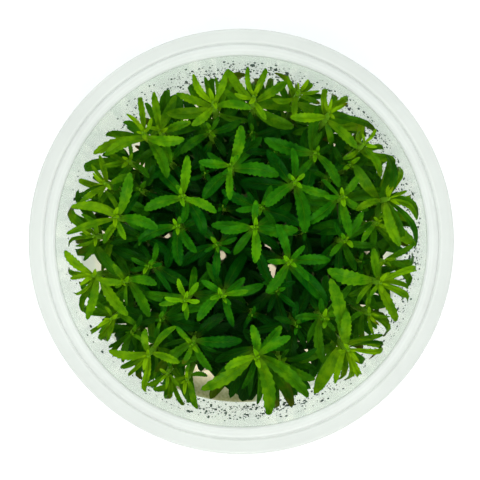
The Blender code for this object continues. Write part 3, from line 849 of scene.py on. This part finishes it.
plantingSettings = {
    "step": 5.2,                # mm down the stem from one pair to the next
    "highest": 3.6, "lowest": 15.0,     # mm: the first pair under the shoot's own leaves, and the last
    "reach": (8.0, 11.5),       # mm
    "clear": 0.45,              # mm, the least room to other leaves
    # slopes that are tried, width in shares of the reach, share of the least room that is kept, and
    # what each mm costs that a leaf is bent at the wall
    "pair": ([0.3, 0.05, -0.2, -0.45], 0.32, 1.0, 0.2),
    "arch": ([0.45, 0.25, 0.0], 0.21, 0.7, 0.0),
    # leaves that arch out to the wall: from shoots past this radius (mm) on these sides (degrees), and
    # their depth under the top (mm) and turn from straight out (radians)
    "outer": 23.0,
    "sides": [(-105, 35), (160, 245)],
    "arches": [(4.8, 0.9), (8.3, -0.9), (11.5, 0.4)],
    "swings": (0, 20, -20, 40, -40, 60, -60),   # degrees to the side, and shares of the reach, that are tried
    "shares": (1.3, 1.0, 0.75),
    # other leaves count within this distance and height of the root, and past this distance (mm)
    "around": (14, 8, 1.6), "heightCounts": 1.6,
    # the score of a leaf: its room in mm up to this, the fresh gel that it hides, less the gel in view
    # that it hides, and the least score that grows
    "roomMost": 1.6, "fresh": 2.4, "spoilt": 14, "least": 0.3,
    "offWall": 0.7, "fall": 0.8, "overGel": 11.8,   # mm, share and mm, as for the finished leaves
    # two pairs of tiny leaves on top: length in mm, slope, depth under the tip in mm, turn; and their
    # width in shares of the length
    "crown": [(2.9, 0.95, 0.6, 0.0), (1.8, 1.7, 0.1, math.pi / 2)],
    "crownWidth": 0.42,
    # long leaves that hang over at the wall: shoot, depth under its top, middle, tip, width, tone, brown
    "straps": [
        ("shoot_21", 3.0, (39.5, 9.8, 54.0), (42.9, 5.8, 52.5), 1.7, 0.50, 0.2),
        ("shoot_21", 5.0, (40.3, 4.6, 50.0), (42.1, -1.8, 44.0), 2.3, 0.46, 0.0),
        ("shoot_21", 4.0, (37.5, 4.2, 49.0), (38.1, -1.4, 43.5), 2.0, 0.52, 0.0),
        ("shoot_21", 4.5, (36.2, 15.6, 50.0), (33.8, 20.3, 45.0), 2.9, 0.44, 0.1),
        ("shoot_14", 5.0, (27.6, 28.7, 50.0), (32.2, 25.8, 45.0), 2.2, 0.45, 0.3),
        ("shoot_53", 5.0, (33.2, -24.1, 49.5), (31.0, -29.0, 44.0), 1.8, 0.42, 0.9),
        ("shoot_04", 6.0, (-36.4, 12.4, 44.0), (-38.5, 9.3, 39.0), 1.2, 0.50, 0.0),
    ],
}
closingSettings = {
    "rounds": 3, "most": 320,   # and the most leaves in a round
    "heights": (13.0, 16.0, 20.0),      # mm, where these low leaves leave their stems
    "within": 40.0,             # mm from the middle, the gaps that are closed
    "least": 7,                 # open cells that each leaf has to hide
    "stems": 5, "near": 5,      # how many stems are tried, those nearest to this distance (mm) first
    "reach": (6, 12), "aim": 0.55,      # mm, and the share of the reach at which the gap lies
    "width": 0.36, "slopes": [0.12, -0.06],
    "spoilt": 6,                # open cells that one cell of gel in view is worth
}
cells, gridSide = 240, 96 * mm          # a grid over the gel: the cells on a side, and its side
cell = gridSide / cells
cellCentres = np.stack(np.meshgrid(*[np.arange(cells)] * 2, indexing="ij"), axis=-1) + 0.5
cellCentres = cellCentres * cell - gridSide / 2


def shadowOnGel(points):
    # where the camera sees a point in front of the gel
    eye = np.array(cameraSettings["place"])
    share = (eye[2] - gelSettings["top"] * mm) / (eye[2] - points[..., 2])
    return eye[:2] + (points[..., :2] - eye[:2]) * share[..., None]


def cellsOf(points):
    # the cell that each point hides, as two whole numbers
    return np.clip(((shadowOnGel(points) + gridSide / 2) / cell).astype(int), 0, cells - 1)


def marked(grid, at):
    # for each leaf, the marks of the cells under its samples
    return grid[at[..., 0], at[..., 1]]


def tryLeaves(root, heading, reach, width, slopes):
    # leaves that could grow from a point of a stem: a grid of swings, slopes and reaches
    s = plantingSettings
    grid = np.meshgrid(np.radians(s["swings"]), slopes, s["shares"], indexing="ij")
    swing, slope, share = (a.ravel() for a in grid)
    way = level(heading + swing)
    length = (reach * share)[:, None]
    start = root + way * 0.5 * mm
    tip = root + way * length + up * (slope[:, None] * length)
    middle = (start + tip) / 2 + up * (0.09 * length)
    bent, middle = againstWall(tip), againstWall(middle)
    side = unit(np.cross(up, bent - start))
    width = reach * share * width * chance.uniform(0.85, 1.05)
    return (start, middle, bent, side, width), np.linalg.norm(bent - tip, axis=-1)


def againstWall(points):
    # points past the wall slide down its face, and none goes under the top of the gel
    s = plantingSettings
    out = fromAxis(points)
    excess = np.maximum(out - (wallRadius(points[:, 2]) - s["offWall"] * mm), 0)
    moved = drawnIn(points, 1 - excess / out)
    moved[:, 2] = np.maximum(moved[:, 2] - s["fall"] * excess, s["overGel"] * mm)
    return moved


def leafJobs(number, shoot):
    # where leaves may grow on a shoot: pairs that cross each other down the stem, and arching leaves
    s = plantingSettings
    heading = chance.uniform(0, 2 * math.pi)
    levels = np.arange(shoot["lowest"] - s["highest"] * mm, s["lowest"] * mm, -s["step"] * mm)
    jobs = [
        (z, number, heading + math.pi / 2 * i + turn, "pair")
        for i, z in enumerate(levels) for turn in (0, math.pi)
    ]
    outward = math.atan2(shoot["top"][1], shoot["top"][0])
    facing = any(low < (math.degrees(outward) - low) % 360 + low < high for low, high in s["sides"])
    if facing and fromAxis(shoot["top"]) > s["outer"] * mm:
        top = shoot["top"][2]
        jobs += [(top - depth * mm, number, outward + turn, "arch") for depth, turn in s["arches"]]
    return jobs


def growLowerLeaves(shoots):
    # From the highest place to the lowest, the try grows that scores best: room to what is there
    # already, and fresh gel that it hides, less gel that stays in view and the bend at the wall.
    s = plantingSettings
    taken = []
    kept, covered = keptOpen(), np.zeros((cells, cells), bool)
    for shoot in shoots:
        cad = gathered(shoot["leaves"], *bladeKeys)
        steps = np.linspace(0, 1, 25)[:, None]
        taken.append(thinned(leafSamples(*cad)).reshape(-1, 3))
        taken.append(shoot["foot"] * (1 - steps) + shoot["top"] * steps)
        cover(covered, *cad)
    taken = np.concatenate(taken)
    jobs = [job for number, shoot in enumerate(shoots) for job in leafJobs(number, shoot)]
    wide, high, past = (length * mm for length in s["around"])
    grown = 0
    for z, number, heading, kind in sorted(jobs, reverse=True):
        shoot = shoots[number]
        slopes, width, tighter, bending = s[kind]
        root = shoot["foot"] + shoot["line"] * (z - shoot["foot"][2]) / shoot["line"][2]
        tries, bent = tryLeaves(root, heading, chance.uniform(*s["reach"]) * mm, width, slopes)
        off = taken - root
        distance = np.linalg.norm(off[:, :2], axis=-1)
        near = taken[(distance < wide) & (np.abs(off[:, 2]) < high) & (distance > past)]
        samples = leafSamples(*tries)
        probes = thinned(samples).reshape(len(samples), -1, 3)
        away = (probes[:, :, None] - near) * np.array([1.0, 1.0, s["heightCounts"]])
        room = np.sqrt((away ** 2).sum(axis=-1).min(axis=(1, 2)))
        at = cellsOf(samples)
        fresh = 1 - marked(covered, at).mean(axis=(1, 2))
        spoilt = marked(kept, at).mean(axis=(1, 2))
        score = np.minimum(room / mm, s["roomMost"]) + s["fresh"] * fresh - s["spoilt"] * spoilt
        score -= bending * bent / mm
        score[room < s["clear"] * mm * tighter] = -9
        best = int(np.argmax(score))
        if score[best] < s["least"]:
            continue
        growLeaf(shoot, [values[best] for values in tries], covered)
        taken = np.concatenate([taken, probes[best]])
        grown += 1
    print("lower leaves grown:", grown)


def growLeaf(shoot, blade, covered):
    # a leaf of the shoot from its five values, which marks the cells that it hides
    start, middle, tip, _, width = blade
    shoot["hidden"].append(newLeaf(start, middle, tip, width))
    cover(covered, *(np.array(values)[None] for values in blade))
    return shoot["hidden"][-1]


def thinned(samples):
    # every third sample along a leaf and every second across
    return samples[:, 1::3, ::2]


def cover(covered, *leaves):
    # marks the cells that leaves hide
    mark(covered, leafSamples(*leaves, along=36, across=11))


def mark(grid, points):
    # marks the cells that points hide
    grid[tuple(cellsOf(points).reshape(-1, 2).T)] = True


def keptOpen():
    # the cells where the gel stays in view
    kept = np.zeros((cells, cells), bool)
    for x, y, radius in gelSettings["openings"]:
        kept |= np.hypot(cellCentres[..., 0] - x * mm, cellCentres[..., 1] - y * mm) < radius * mm
    return kept


def hiddenCells(shoots):
    # the cells that the finished blades hide: their rings, a fifth narrower so that a cell which an
    # edge only touches stays open, with more steps between neighbours
    hidden = np.zeros((cells, cells), bool)
    for shoot in shoots:
        blades = leafRings(shoot["leaves"] + shoot["hidden"] + shoot["crown"], leafSettings["plain"])[0]
        blades = blades[:, :, :5] * 0.8 + blades[:, :, 2:3] * 0.2
        for axis in (1, 2, 1, 2, 1):
            ahead = np.moveaxis(blades, axis, 0)
            between = np.empty((len(ahead) * 2 - 1, *ahead.shape[1:]))
            between[::2], between[1::2] = ahead, (ahead[1:] + ahead[:-1]) / 2
            blades = np.moveaxis(between, 0, axis)
        mark(hidden, blades)
    return hidden


def hangStraps(shoots):
    # the long leaves, each from its height on the stem
    byName = {shoot["node"]: shoot for shoot in shoots}
    for name, depth, middle, tip, width, tone, brown in plantingSettings["straps"]:
        shoot = byName[name]
        start = shoot["top"] - shoot["line"] / shoot["line"][2] * depth * mm
        leaf = newLeaf(start, np.array(middle) * mm, np.array(tip) * mm, width * mm)
        dressLeaf(shoot, leaf)
        leaf["sweep"] = leaf["aside"] = 0.0
        leaf["tone"], leaf["brown"] = tone, brown
        shoot["hidden"].append(leaf)


def closeGaps(shoots):
    # While the camera sees an open place of the gel, a low leaf grows over it from a stem near by: the
    # one that hides most open cells
    s = closingSettings
    kept, covered = keptOpen(), hiddenCells(shoots)
    want = ~kept & (fromAxis(cellCentres) < s["within"] * mm)
    left = want & ~covered
    print("  open before closing:", round(float(left.sum() / want.sum()), 4))
    feet, line = gathered(shoots, "foot", "line")
    eye = cameraSettings["place"][2]
    least, most = (reach * mm for reach in s["reach"])
    grown = 0
    while left.any() and grown < s["most"]:
        spots = np.argwhere(left)
        spot = spots[chance.integers(len(spots))]
        left[tuple(spot)] = False
        z = chance.choice(s["heights"]) * mm
        roots = feet + line / line[:, 2:] * (z - feet[:, 2:])
        away = cellCentres[tuple(spot)] * (eye - z) / (eye - gelSettings["top"] * mm) - roots[:, :2]
        far = np.linalg.norm(away, axis=1)
        best, gain = None, s["least"]
        for number in np.argsort(np.abs(far - s["near"] * mm))[:s["stems"]]:
            reach = min(max(far[number] / s["aim"], least), most)
            heading = math.atan2(*away[number][::-1])
            tries = tryLeaves(roots[number], heading, reach, s["width"], s["slopes"])[0]
            at = cellsOf(leafSamples(*tries, along=20, across=7))
            gained = marked(left, at).sum(axis=(1, 2)) - s["spoilt"] * marked(kept, at).sum(axis=(1, 2))
            pick = int(np.argmax(gained))
            if gained[pick] > gain:
                best, gain = (shoots[number], [values[pick] for values in tries]), gained[pick]
        if best is None:
            continue
        leaf = growLeaf(*best, covered)
        dressLeaf(best[0], leaf)
        leaf["sweep"] = leaf["twist"] = leaf["hook"] = leaf["aside"] = 0.0
        left &= ~covered
        grown += 1
    print("  leaves that close gaps:", grown)


def growCrown(shoot):
    # two pairs of tiny leaves round the tip of the stem, the inner pair steeper
    heading = math.atan2(*(shoot["leaves"][0]["tip"] - shoot["top"])[1::-1]) + math.pi / 2
    for length, steep, depth, turn in plantingSettings["crown"]:
        for opposite in (0, math.pi):
            angle = heading + turn + opposite + chance.uniform(-0.25, 0.25)
            reach = length * chance.uniform(0.85, 1.15) * mm
            way = unit(np.array([math.cos(angle), math.sin(angle), steep * chance.uniform(0.85, 1.15)]))
            start = shoot["top"] - shoot["line"] * depth * mm + way * 0.2 * mm
            tip = start + way * reach
            middle = (start + tip) / 2 + up * 0.10 * reach - way * [0.1, 0.1, 0] * reach
            shoot["crown"].append(newLeaf(start, middle, tip, reach * plantingSettings["crownWidth"]))


# Leaf and stem materials

leafColours = {
    # by tone, from the deep leaves in the shade of others to the young ones on top
    "ramp": [(0.0, (0.0003, 0.024, 0.0004)), (0.35, (0.0012, 0.072, 0.0005)),
             (0.65, (0.021, 0.165, 0.0005)), (1.0, (0.125, 0.370, 0.0005))],
    # the same for the leaves near the wall, which are more olive
    "outer": [(0.0, (0.0030, 0.028, 0.0004)), (0.35, (0.0110, 0.075, 0.0005)),
              (0.65, (0.045, 0.165, 0.0005)), (1.0, (0.180, 0.370, 0.0005))],
    "mottle": 0.22, "tipDarker": -0.04,     # what the patches and the tip add to the tone
    "veins": (9.0, 2.2),        # side veins along a leaf, and how many of them one crosses to the edge
    "shares": (0.07, 0.25, 0.6, 0.55),      # how much of its colour a vein, the midrib, the foot and the
                                            # underside show
    "rib": (0.15, 0.31, 0.01),
    "foot": (0.16, 0.31, 0.01),
    "under": (0.025, 0.12, 0.004),
    "brown": (0.080, 0.052, 0.003),
    "through": 0.22, "glow": (0.08, 0.26, 0.001),   # share of the light that comes through, and its colour
    "roughness": 0.36,
}
stemColours = {
    "young": (0.13, 0.33, 0.008), "old": (0.055, 0.16, 0.008), "node": (0.06, 0.16, 0.006),
    "pale": (0.20, 0.42, 0.02), "roughness": 0.40,
}


def attributeNumbers(tree, name):
    # the three numbers that each vertex carries under a name
    return partsOf(tree, put(tree, "ShaderNodeAttribute", attribute_name=name).outputs["Vector"])


def leafMaterial():
    # green by tone and mottle, a pale midrib and foot, forward side veins, a dull underside, brown tips
    s = leafColours
    material, tree, shader, where = newMaterial(
        "livingLeaf", Roughness=s["roughness"], IOR=1.42, Specular_IOR_Level=0.04,
    )
    along, across, under = attributeNumbers(tree, "place")
    tone, brown, olive = attributeNumbers(tree, "look")
    mottle = doNoise(tree, where, 420.0, -0.5, 0.5)
    fine = doNoise(tree, where, 3000.0, 0.0, 1.0, name="cells")
    out = doMath(tree, "ABSOLUTE", across)

    toned = scaled(tree, mottle, s["mottle"], tone)
    toned = scaled(tree, doStep(tree, along, 0.45, 1.0), s["tipDarker"], toned)
    count, forward = s["veins"]
    pitch = doMath(tree, "SUBTRACT", times(tree, along, count), times(tree, out, forward))
    vein = doMath(tree, "SUBTRACT", 1.0, doStep(tree, doMath(tree, "PINGPONG", pitch, 0.5), 0.02, 0.13))
    vein = times(tree, vein, doStep(tree, out, 0.95, 0.6))
    rib = times(tree, doStep(tree, out, 0.15, 0.03), doStep(tree, along, 1.0, 0.2, 0.2, 1.0))
    foot = doStep(tree, along, 0.24, 0.02)
    below = doStep(tree, under, 0.02, 0.2)
    edge = scaled(tree, mottle, 0.25, scaled(tree, out, 0.10, along))

    shade = scaled(tree, tone, 0.65, 0.25)
    # the tone, with the painted light and shade that it holds, picks the green
    colour = doMix(tree, olive, doRamp(tree, toned, s["ramp"]), doRamp(tree, toned, s["outer"]))
    ofVein, ofRib, ofFoot, ofUnder = s["shares"]
    colour = layered(
        tree, colour, (times(tree, vein, ofVein), s["rib"]), (times(tree, rib, ofRib, shade), s["rib"]),
        (times(tree, foot, ofFoot, shade), s["foot"]), (times(tree, below, ofUnder), s["under"]),
        (times(tree, doStep(tree, edge, 0.62, 0.92), brown), s["brown"]),
    )
    rough = scaled(tree, fine, 0.12, s["roughness"] - 0.06)
    wire(tree, shader, Base_Color=colour, Roughness=scaled(tree, below, 0.18, rough))
    height = scaled(tree, vein, -0.5, times(tree, fine, 0.35))
    relief(tree, shader, doMath(tree, "SUBTRACT", height, rib), 0.05, 0.7)
    lightThrough(tree, shader, doMix(tree, 0.4, colour, s["glow"]), s["through"])
    return material


def stemMaterial():
    # pale green, older and duller towards the gel, darker at the nodes, with fine streaks along it
    s = stemColours
    material, tree, shader, where = newMaterial(
        "youngStem", Roughness=s["roughness"], IOR=1.42, Specular_IOR_Level=0.08,
    )
    along, _, node = attributeNumbers(tree, "place")
    stretch = put(tree, "ShaderNodeMapping", {"Vector": where, "Scale": (1.0, 1.0, 0.08)})
    streak = doNoise(tree, stretch.outputs["Vector"], 2600.0, 0.0, 1.0, name="streaks")
    age = doMath(tree, "ADD", along, doNoise(tree, where, 350.0, -0.2, 0.2))
    colour = layered(
        tree, s["young"], (doStep(tree, age, 0.9, 0.1), s["old"]), (times(tree, streak, 0.35), s["pale"]),
        (times(tree, node, 0.5), s["node"]),
    )
    wire(tree, shader, Base_Color=colour, Roughness=scaled(tree, streak, 0.14, s["roughness"] - 0.07))
    relief(tree, shader, streak, 0.04, 0.5)
    return material


# Shoots

stemSettings = {
    "foot": 0.68, "tip": 0.36,      # mm, radius
    "swell": 0.22,                  # how much a node is thicker, in shares of the radius
    "around": 8, "rings": 26,
    "bare": 9,                      # mm at the top over which it narrows
    "node": 0.9,                    # mm, half the length of a swollen node
    "ends": (1.3, 1.5, 0.35),       # mm: lower pole and first ring over the foot, upper pole over the top
}
toneSettings = {
    # tone runs from deep to bright leaf colour: partly the leaves' age, partly painted light and shade
    "base": 0.215, "byHeight": 0.62,    # tone of the leaves on a low shoot, and what a high one gains
    "low": 40.0, "high": 53.0,      # mm: shoots under the first are deep green, over the second bright
    "crown": 0.22,                  # what the tiny leaves on top gain
    # painted shade: leaves lower on a shoot are darker
    "shadePerDepth": 0.030,              # lost for each mm that a leaf starts under the top of its shoot
    "chance": 0.13,
    "outer": (25.0, 41.0, 0.22),    # mm from the middle, and the painted light that leaves near the wall gain
    "olive": (16.0, 40.0),          # mm from the middle, from inner to outer colours
    # painted light and shade near the wall is evened out: tones there go part way to one value
    "even": (17.0, 34.0, 0.30, 0.64),   # mm from the middle, and how far tones out there go to the last
    # a leaf whose tip is this near to the wall (mm) presses on it. The share of such leaves that has a
    # brown tip, what every leaf near the wall adds to it, and how brown.
    "pressed": 1.6, "browned": (0.3, 0.15), "brown": (0.2, 0.8),
    # shoots whose tone the photo shows to be other than their height gives
    "own": {"shoot_02": 0.10, "shoot_09": 0.08, "shoot_32": 0.20, "shoot_47": -0.02, "shoot_48": -0.08,
            "shoot_54": 0.15, "shoot_52": 0.06},
    # painted shade in dark places deep between the stems: x, y, radius in mm and what the lower leaves
    # there lose, in full from this depth to that (mm) under the top
    "shadeHollowDepth": (3.0, 6.0),
    "shadeHollows": [(-4.3, -23.0, 6.5, 0.60), (-9.0, -31.5, 4.5, 0.40), (2.5, -34.5, 7.0, 0.32),
                (-2.2, -5.2, 4.0, 0.18), (18.8, 3.4, 4.0, 0.12), (14.0, -24.5, 4.0, 0.30)],
}


def stemForm(shoot):
    # a round tube along the stem's line that narrows to the tip and swells at each pair of leaves
    s = stemSettings
    t = np.linspace(0, 1, s["rings"])
    height = np.linalg.norm(shoot["top"] - shoot["foot"])
    pole, first, over = s["ends"]
    axis = shoot["foot"] + up * first * mm + (shoot["top"] - shoot["foot"] - up * first * mm) * t[:, None]
    nodes = np.array([leaf["start"][2] for leaf in shoot["leaves"] + shoot["hidden"]])
    near = np.exp(-(((axis[:, 2:] - nodes) / (s["node"] * mm)) ** 2)).max(axis=1)
    narrow = ease(1 - s["bare"] * mm / height, 1.0, t)
    radius = mixed(s["foot"], s["tip"], narrow) * (1 + s["swell"] * near) * mm
    turn = roundTurn(s["around"])
    across = unit(np.cross(shoot["line"], np.array([0.0, 1.0, 0.0])))
    beside = np.cross(shoot["line"], across)
    ring = across * np.cos(turn)[:, None] + beside * np.sin(turn)[:, None]
    rings = axis[:, None] + ring * radius[:, None, None]
    place = np.zeros((s["rings"], s["around"], 3))
    place[..., 0], place[..., 1], place[..., 2] = t[:, None], np.sin(turn), near[:, None]
    place = np.concatenate([[[0, 0, 0]], place.reshape(-1, 3), [[1, 0, 0]]])
    ends = (shoot["foot"] + up * pole * mm)[None], (shoot["top"] + shoot["line"] * over * mm)[None]
    return makeForms(rings[None], *ends, place[None], slot=1)


def dressLeaf(shoot, leaf):
    # Tone from the shoot's height and the leaf's depth on it, partly painted light and shade, a more
    # olive green towards the wall, and brown tips on some leaves that press on it. The leaf's own bends
    # are drawn here too.
    s, form = toneSettings, leafSettings
    base = s["base"] + s["byHeight"] * easeMm(s["low"], s["high"], shoot["top"][2])
    base += s["own"].get(shoot["node"], 0.0)
    depth = (shoot["top"][2] - leaf["start"][2]) / mm
    away = fromAxis(leaf["middle"])
    nearWall, farWall, gain = s["outer"]
    outer = easeMm(nearWall, farWall, away)
    leaf["olive"] = min(max(easeMm(*s["olive"], away) + chance.normal(0, 0.15), 0.0), 1.0)
    # painted shade that grows with depth under the top, and painted light near the wall
    leaf["tone"] = base - s["shadePerDepth"] * depth * (1 - 0.5 * outer) + gain * outer
    leaf["tone"] += chance.uniform(-1, 1) * s["chance"]
    start, end, share, middle = s["even"]
    leaf["tone"] += (middle - leaf["tone"]) * share * easeMm(start, end, away)
    # painted shade: lower leaves near the dark places between the stems lose tone
    for x, y, wide, lost in s["shadeHollows"]:
        near = easeMm(wide, 0.4 * wide, np.hypot(*(leaf["middle"][:2] - np.array([x, y]) * mm)))
        leaf["tone"] -= lost * near * float(ease(*s["shadeHollowDepth"], depth))
    pressed = wallRadius(leaf["tip"][2]) - fromAxis(leaf["tip"]) < s["pressed"] * mm
    often = pressed * s["browned"][0] + outer * s["browned"][1]
    leaf["brown"] = float((often > chance.uniform()) * chance.uniform(*s["brown"]))
    leaf["fold"] = math.radians(chance.uniform(*form["fold"]) + pressed * form["foldAtWall"])
    leaf["slim"] = chance.uniform(*form["slim"]) * (1 - 0.12 * outer)
    leaf["sweep"] = chance.uniform(-1, 1) * form["sweep"] * (1 + outer)
    leaf["hook"] = chance.uniform(0, 1) ** 2 * form["hook"] * (1 + pressed)
    leaf["twist"] = chance.uniform(-1, 1)
    leaf["aside"] = chance.choice([-1, 1]) * chance.uniform(0.3, 1.0) * form["aside"]
    leaf["phase"] = chance.uniform(0, 2 * math.pi)


def makeShoots():
    # crowns and lower leaves grow first, then every leaf gets its tone and bends, gaps are closed, and
    # each shoot becomes one piece
    materials = [leafMaterial(), stemMaterial()]
    for shoot in shoots:
        shoot["hidden"], shoot["crown"] = [], []
        growCrown(shoot)
    growLowerLeaves(shoots)
    for shoot in shoots:
        for leaf in shoot["leaves"] + shoot["hidden"] + shoot["crown"]:
            dressLeaf(shoot, leaf)
        for leaf in shoot["crown"]:
            leaf["tone"] += toneSettings["crown"]
            leaf["hook"] = 0.0
    for _ in range(closingSettings["rounds"]):
        closeGaps(shoots)
    hangStraps(shoots)
    for shoot in shoots:
        split = {"toothed": [], "plain": []}
        for leaf in shoot["leaves"]:
            deep = shoot["top"][2] - leaf["start"][2] > leafSettings["hidden"] * mm
            split["plain" if deep else "toothed"].append(leaf)
        split["plain"] += shoot["hidden"] + shoot["crown"]
        parts = [leafForms(leaves, leafSettings[kind]) for kind, leaves in split.items()] + [stemForm(shoot)]
        piece = buildPiece(shoot["node"].replace("shoot", "plantlet"), parts, materials, 42)
        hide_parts(shoot["node"])


makeShoots()
triangles = sum(len(mesh.polygons) * 2 for mesh in bpy.data.meshes)
print("plantlets made, about", triangles, "triangles in all")
